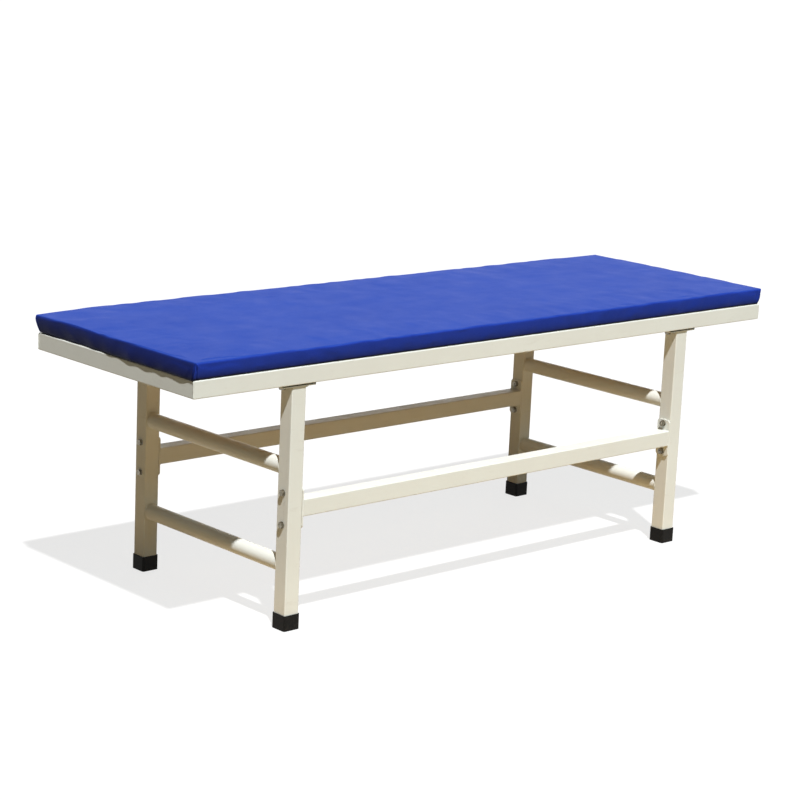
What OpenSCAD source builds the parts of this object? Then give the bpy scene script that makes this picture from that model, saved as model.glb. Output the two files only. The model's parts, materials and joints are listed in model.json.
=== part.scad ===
// A massage table: a vinyl pad on a mitred bed frame, carried by two welded leg frames
// that are bolted to the bed frame above and to a front and a back stretcher between them.
// All sizes are in millimetres. X runs along the table, Y from its front to its back, Z up.
// The origin lies on the floor, under the middle of the pad.

/* [Bed frame] */
// Length over the two end rails
frame_len = 1850; // [1400:10:2200]
// Width over the front and back rails
frame_wid = 594; // [480:1:800]
// Height of the rails' upper faces above the floor
frame_top = 607; // [500:0.5:800]
// Outer size of the square tube of the rails, legs and stretchers
tube = 40; // [34:1:44]
// Wall thickness of every square tube
tube_wall = 1.5; // [1:0.1:2.4]
// Outer corner radius of every square tube
tube_corner_r = 2.5; // [2.5:0.1:5]
// Height of the three cross members under the pad
cross_h = 25; // [20:1:32]
// Distance from the middle cross member to each of the others
cross_pitch = 460; // [300:5:540]

/* [Leg frames] */
// Distance from the end of the bed frame to the leg's outer face
leg_inset_x = 273; // [180:1:330]
// Distance from the front or back face of the bed frame to the leg
leg_inset_y = 6.5; // [5:0.5:10]
// Length of the plate that is welded on top of each leg
plate_len = 90; // [84:1:130]
// Width of that plate
plate_wid = 45; // [45:1:50]
// Thickness of that plate
plate_t = 3; // [3:0.5:6]
// Thickness of the rubber shim between that plate and the rail
shim_t = 3; // [2:0.5:6]
// Diameter of the round crossbars
crossbar_d = 38; // [25:1:38]
// Wall thickness of the round crossbars
crossbar_wall = 1.5; // [1:0.1:3]
// Height of the upper crossbars' centre above the floor
crossbar_upper_z = 372; // [350:1:450]
// Height of the lower crossbars' centre above the floor
crossbar_lower_z = 147; // [80:1:200]

/* [Foot caps] */
// Height of a foot cap
cap_h = 36; // [20:1:50]
// Wall thickness of a foot cap
cap_wall = 2.5; // [1:0.1:4]
// Thickness of a foot cap under the leg
cap_floor = 4; // [3:0.5:8]
// Clearance between a leg and its foot cap
cap_play = 0.1; // [0.05:0.05:0.5]

/* [Stretchers] */
// Height of the stretchers' centre above the floor
stretcher_z = 281; // [260:1:300]
// Height of the end plates welded to the stretchers
end_plate_h = 95; // [86:1:110]
// Thickness of those end plates
end_plate_t = 4; // [3:0.5:8]
// Corner radius of those end plates
end_plate_r = 8; // [2:0.5:15]
// Distance between the two bolts of an end plate
end_bolt_pitch = 74; // [70:1:76]

/* [Fasteners] */
// Diameter of the bolts
bolt_d = 8; // [5:1:8]
// Width of the bolt heads and nuts across their flats
hex_af = 13; // [12:0.5:14]
// Height of a bolt head
head_h = 5.3; // [4:0.1:7]
// Height of a nut
nut_h = 6.5; // [4:0.1:8]
// Length of bolt that stands out of its nut
bolt_tail = 2.5; // [1:0.5:6]
// Diameter of the washers
washer_d = 16; // [15:0.5:18]
// Thickness of the washers
washer_t = 1.6; // [1:0.1:2]
// Radial clearance of a bolt in its plain holes
hole_play = 0.5; // [0.2:0.1:1]
// Radial clearance of a screw thread in its nut or in wood
thread_play = 0.05; // [0.05:0.05:0.2]
// Diameter of the wood screws that hold the pad
screw_d = 5; // [3:0.5:6]
// Head diameter of those screws
screw_head_d = 10; // [8:0.5:12]
// Head height of those screws
screw_head_h = 3; // [2:0.5:4]
// Depth of those screws in the pad board
screw_bite = 9; // [5:0.5:10]

/* [Pad] */
// How far the pad reaches past the end rails
pad_over_x = 2; // [0:0.5:6]
// How far the pad reaches past the front and back rails
pad_over_y = 6; // [0:0.5:8]
// Height of the pad's upper edge above the rails
pad_t = 39.5; // [34:0.5:80]
// How far the pad's sides are drawn in at the rails
pad_draw_in = 9.5; // [1:0.5:10]
// Rounding of the pad's upper edge
pad_edge_r = 6.5; // [4:0.5:15]
// Corner radius of the pad seen from above
pad_corner_r = 12; // [12:0.5:40]
// Rise of the crown from the pad's upper edge to its middle
crown_rise = 3; // [0:0.5:15]
// Width of the band along the edge in which the crown rises
crown_run = 130; // [60:5:180]
// Thickness of the vinyl cover
cover_t = 1.2; // [0.8:0.1:2]
// Width of the hem that the cover has under the board
hem_w = 60; // [45:1:90]
// Thickness of the plywood board
board_t = 12; // [11:1:16]

/* [Hidden] */

$fn = 48;

// The two senses along an axis
left = -1;
middle = 0;
right = 1;
front = -1;
back = 1;

cream = [0.87, 0.86, 0.80];
cream_plate = [0.82, 0.81, 0.74];
zinc = [0.75, 0.75, 0.76];
rubber_black = [0.10, 0.10, 0.10];
vinyl_blue = [0.20, 0.30, 0.72];
foam_yellow = [0.93, 0.88, 0.66];
plywood = [0.80, 0.66, 0.46];

// How far a cut runs past the face that it opens
overrun = 1;

// Heights, from the rails downwards
rail_bottom = frame_top - tube;
plate_bottom = rail_bottom - shim_t - plate_t;

// Centre lines of the legs, and the face of a leg that looks at the stretchers
leg_x = frame_len / 2 - leg_inset_x - tube / 2;
leg_y = frame_wid / 2 - leg_inset_y - tube / 2;
leg_inner_x = leg_x - tube / 2;
leg_inner_y = leg_y - tube / 2;

// The bolts of a leg plate lie midway between the leg and the end of its plate
plate_bolt_x = (plate_len + tube) / 4;
end_bolt_len = tube + end_plate_t + 2 * washer_t + nut_h + bolt_tail;
plate_bolt_len = washer_t + plate_t + shim_t + tube_wall + nut_h + bolt_tail;
bolt_hole_d = bolt_d + 2 * hole_play;
bolt_point = bolt_d / 8;

// The pad board's screws, as a share of the half width inside the rails
screw_share = 0.65;
screw_y = screw_share * (frame_wid / 2 - tube);
screw_len = cross_h + cover_t + screw_bite;
screw_hole_d = screw_d + 2 * hole_play;

// Half sizes of the pad's outline, and its heights
pad_a = frame_len / 2 + pad_over_x;
pad_b = frame_wid / 2 + pad_over_y;
board_bottom = frame_top + cover_t;
board_top = board_bottom + board_t;
pad_edge_top = frame_top + pad_t;
pad_widest_z = pad_edge_top - pad_edge_r;
pad_inner_corner_r = pad_corner_r - pad_draw_in;

// How much the slanted sides swell, as a share of their draw-in
swell_share = 0.15;

// How finely the pad's skin is divided
corner_steps = 5;
side_steps = 4;
edge_steps = 4;
crown_steps = 4;

// Plain shapes

module rounded_rect(w, h, r) {
    square([w - 2 * r, h], center = true);
    square([w, h - 2 * r], center = true);
    for (x = [-1, 1], y = [-1, 1])
        translate([x * (w / 2 - r), y * (h / 2 - r)]) circle(r);
}

module tube_section(h = tube) {
    difference() {
        rounded_rect(tube, h, tube_corner_r);
        rounded_rect(tube - 2 * tube_wall, h - 2 * tube_wall, tube_corner_r - tube_wall);
    }
}

// A tube along X, centred on X, Y and Z
module tube_along_x(len) {
    translate([-len / 2, 0, 0]) rotate([90, 0, 90]) linear_extrude(len) tube_section();
}

// A bolt with its shank along Z, the underside of its head at zero
module hex_bolt(len) {
    translate([0, 0, -head_h]) cylinder(h = head_h, d = hex_af / cos(30), $fn = 6);
    cylinder(h = len - bolt_point, d = bolt_d);
    translate([0, 0, len - bolt_point])
        cylinder(h = bolt_point, d1 = bolt_d, d2 = bolt_d - 2 * bolt_point);
}

module hex_nut() {
    difference() {
        cylinder(h = nut_h, d = hex_af / cos(30), $fn = 6);
        translate([0, 0, -overrun]) cylinder(h = nut_h + 2 * overrun, d = bolt_d + 2 * thread_play);
    }
}

module washer() {
    difference() {
        cylinder(h = washer_t, d = washer_d);
        translate([0, 0, -overrun]) cylinder(h = washer_t + 2 * overrun, d = bolt_hole_d);
    }
}

// Places of the fasteners

// On the outer face of each leg, with Z pointing through the leg to its stretcher
module at_end_bolts(sides = [left, right], rows = [front, back]) {
    for (sx = sides, sy = rows, k = [-1, 1])
        translate([sx * (leg_x + tube / 2), sy * leg_y, stretcher_z + k * end_bolt_pitch / 2])
            rotate([0, -90 * sx, 0]) children();
}

// On the underside of each leg plate, with Z pointing up to the rail
module at_plate_bolts(sides = [left, right], rows = [front, back]) {
    for (sx = sides, sy = rows, k = [-1, 1])
        translate([sx * leg_x + k * plate_bolt_x, sy * leg_y, plate_bottom]) children();
}

// Under the cross members, with Z pointing up to the pad board
module at_board_screws(places = [left, middle, right]) {
    for (k = places, sy = [front, back])
        translate([k * cross_pitch, sy * screw_y, frame_top - cross_h]) children();
}

// Bed frame

// A rail along X with mitred ends, its outer face towards -Y at the distance out
module mitred_rail(len, out) {
    intersection() {
        translate([0, tube / 2 - out, frame_top - tube / 2]) tube_along_x(len);
        translate([0, -out, rail_bottom - overrun]) linear_extrude(tube + 2 * overrun)
            polygon([[-len / 2, 0], [len / 2, 0], [len / 2 - tube, tube], [tube - len / 2, tube]]);
    }
}

module long_rail(row) {
    color(cream) difference() {
        rotate([0, 0, row == front ? 0 : 180]) mitred_rail(frame_len, frame_wid / 2);
        at_plate_bolts(rows = [row]) cylinder(h = plate_t + shim_t + tube_wall + overrun, d = bolt_hole_d);
    }
}

module end_rail(side) {
    color(cream) rotate([0, 0, 90 * side]) mitred_rail(frame_wid, frame_len / 2);
}

module cross_member(place) {
    color(cream) difference() {
        translate([place * cross_pitch, 0, frame_top - cross_h / 2]) rotate([90, 0, 0])
            linear_extrude(frame_wid - 2 * tube, center = true) tube_section(cross_h);
        at_board_screws([place])
            translate([0, 0, -overrun]) cylinder(h = cross_h + 2 * overrun, d = screw_hole_d);
    }
}

// Pad

// A rounded rectangle that lies a distance in from the pad's outline, as a ring of points
function pad_ring(in, z) =
    let (r = max(pad_corner_r - in, pad_inner_corner_r))
    [for (q = [0 : 3], i = [0 : corner_steps])
        let (turn = 90 * (q + i / corner_steps),
             x = (q == 0 || q == 3 ? 1 : -1) * (pad_a - in - r),
             y = (q < 2 ? 1 : -1) * (pad_b - in - r))
        [x + r * cos(turn), y + r * sin(turn), z]];

// The distance in of the pad's side at a height, slanting out from the rails to the widest height
function side_in(z) =
    let (t = (z - frame_top) / (pad_widest_z - frame_top))
    pad_draw_in * (1 - t - swell_share * sin(180 * t));

// The pad's side, upper edge and crown as pairs of distance in and height, from the board's
// upper face to the middle of the crown, a distance deep inside the cover's outer face
function pad_upper_profile(deep) = [
    for (k = [0 : side_steps]) let (z = board_top + k / side_steps * (pad_widest_z - board_top))
        [side_in(z) + deep, z],
    for (k = [1 : edge_steps]) let (turn = 90 * k / edge_steps, r = pad_edge_r - deep)
        [pad_edge_r - r * cos(turn), pad_widest_z + r * sin(turn)],
    for (k = [1 : crown_steps]) let (t = k / crown_steps)
        [pad_edge_r + t * crown_run, pad_edge_top - deep + crown_rise * (1 - pow(1 - t, 2))]
];

// The hem under the board, out to the foot of the pad's side
function pad_lower_profile(deep) = [
    [hem_w, frame_top + deep],
    [pad_draw_in + deep, frame_top + deep]
];

function reversed(list) = [for (k = [len(list) - 1 : -1 : 0]) list[k]];

// A closed skin through the rings of a profile, with a flat lid on the first and last ring
module ringed_solid(profile) {
    n = 4 * (corner_steps + 1);
    last = len(profile) - 1;
    rings = [for (p = profile) each pad_ring(p[0], p[1])];
    lids = [[0, 0, profile[0][1]], [0, 0, profile[last][1]]];
    first_lid = len(rings);
    last_lid = first_lid + 1;
    faces = [
        for (i = [0 : n - 1]) let (j = (i + 1) % n) [first_lid, i, j],
        for (k = [0 : last - 1], i = [0 : n - 1]) let (a = k * n + i, b = k * n + (i + 1) % n)
            each [[a, a + n, b + n], [a, b + n, b]],
        for (i = [0 : n - 1]) let (a = last * n + i, b = last * n + (i + 1) % n) [a, last_lid, b]
    ];
    polyhedron(points = concat(rings, lids), faces = faces);
}

module pad_cover() {
    inner = concat(pad_lower_profile(cover_t), pad_upper_profile(cover_t));
    outer = concat(pad_lower_profile(0), pad_upper_profile(0));
    color(vinyl_blue) ringed_solid(concat(reversed(inner), outer));
}

module pad_foam() {
    color(foam_yellow) ringed_solid(pad_upper_profile(cover_t));
}

module pad_board() {
    in = pad_draw_in + cover_t;
    color(plywood) difference() {
        translate([0, 0, board_bottom]) linear_extrude(board_t)
            rounded_rect(2 * (pad_a - in), 2 * (pad_b - in), pad_inner_corner_r);
        at_board_screws() cylinder(h = screw_len + overrun, d = screw_d + 2 * thread_play);
    }
}

module board_screws() {
    color(zinc) at_board_screws() {
        translate([0, 0, -screw_head_h]) cylinder(h = screw_head_h, d1 = screw_head_d / 2, d2 = screw_head_d);
        cylinder(h = screw_len - screw_d, d = screw_d);
        translate([0, 0, screw_len - screw_d]) cylinder(h = screw_d, d1 = screw_d, d2 = 0);
    }
}

// Leg frames

module leg(side, row) {
    color(cream) difference() {
        translate([side * leg_x, row * leg_y, cap_floor])
            linear_extrude(plate_bottom - cap_floor) tube_section();
        at_end_bolts([side], [row])
            translate([0, 0, -overrun]) cylinder(h = tube + 2 * overrun, d = bolt_hole_d);
    }
}

module drilled_plate(side, row, base, thick) {
    difference() {
        translate([side * leg_x, row * leg_y, base + thick / 2])
            cube([plate_len, plate_wid, thick], center = true);
        at_plate_bolts([side], [row]) translate([0, 0, -overrun])
            cylinder(h = plate_t + shim_t + 2 * overrun, d = bolt_hole_d);
    }
}

module leg_plate(side, row) {
    color(cream_plate) drilled_plate(side, row, plate_bottom, plate_t);
}

module shim(side, row) {
    color(rubber_black) drilled_plate(side, row, plate_bottom + plate_t, shim_t);
}

module foot_cap(side, row) {
    socket = tube + 2 * cap_play;
    socket_r = tube_corner_r + cap_play;
    color(rubber_black) translate([side * leg_x, row * leg_y, 0]) difference() {
        linear_extrude(cap_h) rounded_rect(socket + 2 * cap_wall, socket + 2 * cap_wall, socket_r + cap_wall);
        translate([0, 0, cap_floor]) linear_extrude(cap_h) rounded_rect(socket, socket, socket_r);
    }
}

module crossbar(side, height) {
    color(cream) translate([side * leg_x, 0, height]) rotate([90, 0, 0]) difference() {
        cylinder(h = 2 * leg_inner_y, d = crossbar_d, center = true);
        cylinder(h = 2 * (leg_inner_y + overrun), d = crossbar_d - 2 * crossbar_wall, center = true);
    }
}

// Stretchers

module stretcher(row) {
    color(cream) translate([0, row * leg_y, stretcher_z]) tube_along_x(2 * (leg_inner_x - end_plate_t));
}

module end_plate(side, row) {
    color(cream_plate) difference() {
        translate([side * (leg_inner_x - end_plate_t / 2), row * leg_y, stretcher_z])
            rotate([90, 0, 90]) linear_extrude(end_plate_t, center = true)
                rounded_rect(tube, end_plate_h, end_plate_r);
        at_end_bolts([side], [row]) cylinder(h = tube + end_plate_t + overrun, d = bolt_hole_d);
    }
}

// Fasteners

module stretcher_bolts() {
    color(zinc) at_end_bolts() translate([0, 0, -washer_t]) hex_bolt(end_bolt_len);
}

module stretcher_washers() {
    color(zinc) at_end_bolts() {
        translate([0, 0, -washer_t]) washer();
        translate([0, 0, tube + end_plate_t]) washer();
    }
}

module stretcher_nuts() {
    color(zinc) at_end_bolts() translate([0, 0, tube + end_plate_t + washer_t]) hex_nut();
}

module plate_bolts() {
    color(zinc) at_plate_bolts() translate([0, 0, -washer_t]) hex_bolt(plate_bolt_len);
}

module plate_washers() {
    color(zinc) at_plate_bolts() translate([0, 0, -washer_t]) washer();
}

// These nuts are welded inside the rails, on the rails' lower wall
module plate_nuts() {
    color(zinc) at_plate_bolts() translate([0, 0, plate_t + shim_t + tube_wall]) hex_nut();
}

long_rail(front);  // rail_front
long_rail(back);  // rail_back
end_rail(left);  // rail_left
end_rail(right);  // rail_right
cross_member(left);  // cross_member_left
cross_member(middle);  // cross_member_middle
cross_member(right);  // cross_member_right
pad_board();
pad_foam();
pad_cover();
board_screws();
leg(left, front);  // leg_front_left
leg(right, front);  // leg_front_right
leg(left, back);  // leg_back_left
leg(right, back);  // leg_back_right
leg_plate(left, front);  // leg_plate_front_left
leg_plate(right, front);  // leg_plate_front_right
leg_plate(left, back);  // leg_plate_back_left
leg_plate(right, back);  // leg_plate_back_right
shim(left, front);  // shim_front_left
shim(right, front);  // shim_front_right
shim(left, back);  // shim_back_left
shim(right, back);  // shim_back_right
foot_cap(left, front);  // foot_cap_front_left
foot_cap(right, front);  // foot_cap_front_right
foot_cap(left, back);  // foot_cap_back_left
foot_cap(right, back);  // foot_cap_back_right
crossbar(left, crossbar_upper_z);  // crossbar_upper_left
crossbar(left, crossbar_lower_z);  // crossbar_lower_left
crossbar(right, crossbar_upper_z);  // crossbar_upper_right
crossbar(right, crossbar_lower_z);  // crossbar_lower_right
stretcher(front);  // stretcher_front
stretcher(back);  // stretcher_back
end_plate(left, front);  // end_plate_front_left
end_plate(right, front);  // end_plate_front_right
end_plate(left, back);  // end_plate_back_left
end_plate(right, back);  // end_plate_back_right
stretcher_bolts();
stretcher_washers();
stretcher_nuts();
plate_bolts();
plate_washers();
plate_nuts();
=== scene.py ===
# A massage table, dressed around its fixed frame.
# Metres. X runs along the table, Y from its front to its back, Z up; the origin is on the floor.
import json
from math import atan2, ceil, copysign, cos, exp, hypot, pi, radians, sin, sqrt, tan, tanh
import random

import bmesh
import bpy
from mathutils import Matrix, Vector, noise


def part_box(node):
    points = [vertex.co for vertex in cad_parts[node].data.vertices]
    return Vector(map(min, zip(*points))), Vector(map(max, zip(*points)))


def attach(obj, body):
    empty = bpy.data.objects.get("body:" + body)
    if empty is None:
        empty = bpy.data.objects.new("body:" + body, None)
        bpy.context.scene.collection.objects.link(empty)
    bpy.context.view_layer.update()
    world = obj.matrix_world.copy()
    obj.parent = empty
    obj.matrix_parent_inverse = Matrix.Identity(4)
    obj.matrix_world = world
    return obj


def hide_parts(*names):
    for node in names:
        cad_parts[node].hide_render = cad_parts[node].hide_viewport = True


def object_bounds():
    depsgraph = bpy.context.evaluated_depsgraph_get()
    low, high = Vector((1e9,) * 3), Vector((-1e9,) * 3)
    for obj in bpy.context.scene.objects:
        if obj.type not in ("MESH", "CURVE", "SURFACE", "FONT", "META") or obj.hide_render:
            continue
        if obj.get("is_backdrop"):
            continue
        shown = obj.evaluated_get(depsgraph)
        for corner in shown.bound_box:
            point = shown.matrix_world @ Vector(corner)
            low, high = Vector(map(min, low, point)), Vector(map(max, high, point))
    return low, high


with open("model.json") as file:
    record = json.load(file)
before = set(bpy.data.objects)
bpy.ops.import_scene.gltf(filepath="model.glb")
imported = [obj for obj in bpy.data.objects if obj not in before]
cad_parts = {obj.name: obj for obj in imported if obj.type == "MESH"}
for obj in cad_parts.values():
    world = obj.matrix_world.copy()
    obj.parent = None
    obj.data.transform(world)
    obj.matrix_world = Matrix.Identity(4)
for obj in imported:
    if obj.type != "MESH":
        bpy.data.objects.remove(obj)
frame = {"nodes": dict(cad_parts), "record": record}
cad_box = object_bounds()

MM = 0.001
TAU = 2 * pi
Socket = bpy.types.NodeSocket
UP = Vector((0, 0, 1))
CORNERS = [(sx, sy) for sy in (-1, 1) for sx in (-1, 1)]
MEMBERS = ("left", "middle", "right")
NODES = frame["nodes"]
scene = bpy.context.scene

# ------------ sizes that the frame gives

rail_low, rail_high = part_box("rail_front")
stretcher_low, stretcher_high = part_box("stretcher_front")
leg_low, leg_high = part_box("leg_front_left")
plate_low, plate_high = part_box("leg_plate_front_left")
end_low, end_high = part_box("end_plate_front_left")

PAD_X, PAD_Y, PAD_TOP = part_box("pad_cover")[1]
BOARD_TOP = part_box("pad_board")[1].z
TUBE = leg_high.x - leg_low.x
TUBE_R = 2.5 * MM
LEG_X = -(leg_low.x + leg_high.x) / 2
LEG_Y = -(leg_low.y + leg_high.y) / 2
LEG_IN_Y = -leg_high.y
PLATE_BOTTOM = plate_low.z
RAIL_BOTTOM, RAIL_TOP = rail_low.z, rail_high.z
FRAME_X, FRAME_Y = rail_high.x, -rail_low.y
STRETCHER_Z = (stretcher_low.z + stretcher_high.z) / 2
END_PLATE_T = end_high.x - end_low.x


# ------------ meshes

SMOOTH_ANGLE = radians(32)


def new_piece(name, mesh, material):
    """An object that rides on the table, with its material."""
    piece = bpy.data.objects.new(name, mesh)
    scene.collection.objects.link(piece)
    mesh.materials.clear()
    mesh.materials.append(material)
    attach(piece, "root")
    return piece


def finished_mesh(name, bm, smooth_angle=SMOOTH_ANGLE):
    """The bmesh as a mesh, smooth but for edges sharper than the angle."""
    bmesh.ops.recalc_face_normals(bm, faces=bm.faces)
    for face in bm.faces:
        face.smooth = True
    for edge in bm.edges:
        edge.smooth = len(edge.link_faces) == 2 and edge.calc_face_angle(0) < smooth_angle
    mesh = bpy.data.meshes.new(name)
    bm.to_mesh(mesh)
    bm.free()
    return mesh


def loft(bm, rings, place=None, loop=False, lids=True):
    """Joins rings of equally many points. loop joins the last ring to the first one."""
    place = place or Matrix.Identity(4)
    made = [[bm.verts.new(place @ Vector(point)) for point in ring] for ring in rings]
    count = len(made[0])
    pairs = list(zip(made, made[1:])) + ([(made[-1], made[0])] if loop else [])
    for lower, upper in pairs:
        for i in range(count):
            j = (i + 1) % count
            bm.faces.new((lower[i], lower[j], upper[j], upper[i]))
    if lids and not loop:
        bm.faces.new(reversed(made[0]))
        bm.faces.new(made[-1])
    return made


def ring(radius, z, count=24):
    """A ring round Z. radius is a number, or a function of the angle."""
    angles = [TAU * k / count for k in range(count)]
    at = radius if callable(radius) else lambda angle: radius
    return [(at(a) * cos(a), at(a) * sin(a), z) for a in angles]


def bake_modifiers(piece):
    """Puts what the modifiers make into the piece's own mesh."""
    evaluated = piece.evaluated_get(bpy.context.evaluated_depsgraph_get())
    mesh = bpy.data.meshes.new_from_object(evaluated)
    piece.modifiers.clear()
    piece.data = mesh


# ------------ shader nodes

def feed(made, inputs):
    """Sets a node's inputs. Each is given a value, or the socket that feeds it."""
    for name, value in inputs.items():
        if isinstance(value, Socket):
            made.id_data.links.new(value, made.inputs[name])
        else:
            made.inputs[name].default_value = value


def node(kind, inputs, tree=None, **settings):
    """A node in the tree, which is that of the sockets that feed it where none is given."""
    tree = tree or next(v.id_data for v in inputs.values() if isinstance(v, Socket))
    made = tree.nodes.new("ShaderNode" + kind)
    for name, value in settings.items():
        setattr(made, name, value)
    feed(made, inputs)
    return made


def mix(share, first, second, blend="MIX"):
    """first and second mixed by share, as a colour."""
    first, second = (c if isinstance(c, Socket) else (*c, 1) for c in (first, second))
    share_socket, first_socket, second_socket, result = 0, 6, 7, 2
    made = node("Mix", {}, share.id_data, data_type="RGBA", blend_type=blend)
    feed(made, {share_socket: share, first_socket: first, second_socket: second})
    return made.outputs[result]


def maths(operation, first, second=0.0):
    return node("Math", {0: first, 1: second}, operation=operation).outputs[0]


def times(first, second):
    return maths("MULTIPLY", first, second)


def spread(value, low, high, to_low=0.0, to_high=1.0):
    """value from low..high carried over to to_low..to_high, and held there."""
    return node("MapRange", {"Value": value, "From Min": low, "From Max": high,
                             "To Min": to_low, "To Max": to_high}).outputs[0]


def grain(place, scale, detail=3.0, roughness=0.5, distortion=0.0):
    made = node("TexNoise", {"Vector": place, "Scale": scale, "Detail": detail,
                             "Roughness": roughness, "Distortion": distortion})
    return made.outputs["Fac"]


def cells(place, scale):
    return node("TexVoronoi", {"Vector": place, "Scale": scale}).outputs["Distance"]


def stretched(place, scale, turn=(0.0, 0.0, 0.0)):
    """The place, turned and scaled, for a texture that runs along one way."""
    return node("Mapping", {"Vector": place, "Scale": scale, "Rotation": turn}).outputs[0]


def bump(height, distance, strength=1.0, normal=None):
    inputs = {"Height": height, "Distance": distance, "Strength": strength}
    return node("Bump", inputs | ({"Normal": normal} if normal else {})).outputs[0]


def split(vector):
    return node("SeparateXYZ", {"Vector": vector}).outputs


def edge_share(tree, radius):
    """1 on the edges of the shape, falling to 0 at about radius from them."""
    flat_cosine, edge_cosine = 0.995, 0.86
    rounded = node("Bevel", {"Radius": radius}, tree, samples=4).outputs[0]
    flat = node("NewGeometry", {}, tree).outputs["Normal"]
    same = node("VectorMath", {0: rounded, 1: flat}, operation="DOT_PRODUCT")
    return spread(same.outputs["Value"], flat_cosine, edge_cosine)


def crevice_share(tree, distance):
    """1 deep in corners, falling to 0 in the open."""
    in_open, in_corner = 0.85, 0.25
    made = node("AmbientOcclusion", {"Distance": distance}, tree, samples=6)
    return spread(made.outputs["AO"], in_open, in_corner)


def new_material(name):
    """(material, its node tree, the place on the object, its shader)."""
    material = bpy.data.materials.new(name)
    material.use_nodes = True
    tree = material.node_tree
    place = node("TexCoord", {}, tree).outputs["Object"]
    return material, tree, place, tree.nodes["Principled BSDF"]


# ------------ materials

WEAR_R = 1.2 * MM
PEBBLE_SCALE = 430.0


def frame_paint():
    """Sprayed cream enamel: orange peel, slight mottling, dust smears, corners darkened by dust and
    painted shade, worn edges.
    """
    material, tree, place, shader = new_material("frame_paint")
    # dust colours the smears, and also the darkening in the corners, which is dust and painted
    # shade.
    cream, deep, dust, primer = ((0.83, 0.855, 0.81), (0.79, 0.80, 0.75),
                                 (0.40, 0.34, 0.25), (0.66, 0.62, 0.52))
    mottled, smeared, crevice_darkness, chipped = 0.55, 0.16, 0.75, 0.5
    clouds = spread(grain(place, 9.0, 4.0, 0.6), 0.35, 0.7)
    colour = mix(times(clouds, mottled), cream, deep)
    upright = stretched(place, (6.0, 6.0, 22.0))
    smears = spread(grain(upright, 3.0, 6.0, 0.65), 0.60, 0.78)
    colour = mix(times(smears, smeared), colour, dust)
    # Darker in corners and crevices, by ambient occlusion and noise: dust and painted shade.
    crevice_dark = times(crevice_share(tree, 12 * MM), grain(place, 60.0, 4.0))
    colour = mix(times(crevice_dark, crevice_darkness), colour, dust)
    chips = spread(grain(place, 170.0, 5.0, 0.7), 0.52, 0.60)
    worn = times(edge_share(tree, WEAR_R), chips)
    colour = mix(times(worn, chipped), colour, primer)
    rough = spread(grain(place, 25.0, 5.0, 0.6), 0.3, 0.7, 0.34, 0.50)
    peel = bump(grain(place, 520.0, 2.0), 0.06 * MM)
    waves = bump(grain(place, 75.0, 1.0), 0.18 * MM, 0.6, peel)
    feed(shader, {"Base Color": colour, "Specular IOR Level": 0.15, "Normal": waves,
                  "Roughness": maths("ADD", rough, times(worn, 0.2))})
    return material


def vinyl_colour(tree, place, normal):
    """(colour, wear) of the vinyl before its painted shade: a painted sheen that makes it paler on
    top, clouded, streaked, rubbed along its edges.
    """
    side, sheen_top, scuffed = (0.018, 0.050, 0.41), (0.0225, 0.0655, 0.38), (0.090, 0.150, 0.50)
    cloud_tint, pebble_tint = (0.86, 0.90, 0.94), (0.7, 0.75, 0.85)
    rubbed_share, edge_wear = 0.12, 0.22
    # Painted sheen: the top lighter than the sides, by the normal.
    colour = mix(spread(normal["Z"], 0.25, 0.95), side, sheen_top)
    clouds = spread(grain(place, 5.0, 4.0, 0.55), 0.3, 0.7)
    colour = mix(clouds, colour, cloud_tint, "MULTIPLY")
    slanted = stretched(place, (2.2, 11.0, 4.0), (0, 0, 0.35))
    rubbed = times(spread(grain(slanted, 3.2, 7.0, 0.62, 0.4), 0.50, 0.74),
                   spread(grain(place, 1.7, 2.0), 0.40, 0.62))
    worn = maths("ADD", times(rubbed, rubbed_share),
                 times(edge_share(tree, WEAR_R), edge_wear))
    colour = mix(worn, colour, scuffed)
    pebbles = spread(cells(place, PEBBLE_SCALE), 0.45, 0.85, 0.0, 0.5)
    return mix(pebbles, colour, pebble_tint, "MULTIPLY"), worn


def vinyl_painted_shade(tree, place, normal, colour):
    """The colour with painted shade: darker low on the sides in patches, on the ends most towards
    the bottom, in folds, and near-black along the hem.
    """
    painted_shade, painted_hem_shadow = (0.004, 0.006, 0.045), (0.003, 0.003, 0.010)
    height = split(place)["Z"]
    # Painted shade: darker towards the hem, in patches.
    low = maths("POWER", spread(height, RAIL_TOP + 20 * MM, RAIL_TOP + 1 * MM), 1.6)
    patchy = spread(grain(place, 45.0, 4.0), 0.3, 0.7, 0.75, 1.0)
    # Painted shade on the ends, most towards the bottom.
    on_end = spread(maths("ABSOLUTE", normal["X"]), 0.5, 0.8)
    end_low = times(on_end, spread(height, PAD_TOP + 34 * MM, RAIL_TOP + 6 * MM))
    share = maths("MAXIMUM", times(low, patchy), end_low)
    # Painted shade in the folds, by ambient occlusion.
    fold_shade = times(crevice_share(tree, 6 * MM), 0.5)
    colour = mix(maths("MAXIMUM", share, fold_shade), colour, painted_shade)
    # Painted shadow: near-black along the hem.
    hem = spread(height, RAIL_TOP + 6.5 * MM, RAIL_TOP + 2.5 * MM, 0.0, 0.9)
    return mix(hem, colour, painted_hem_shadow)


def vinyl_bump(place):
    """Slow waviness, then the pebble grain, then pores."""
    along = stretched(place, (16.0, 30.0, 30.0))
    coarse = bump(grain(along, 1.0, 4.0), 0.3 * MM, 0.35)
    leather = bump(cells(place, PEBBLE_SCALE), 0.22 * MM, 0.8, coarse)
    return bump(grain(place, 1500.0, 2.0), 0.05 * MM, 0.7, leather)


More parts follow.
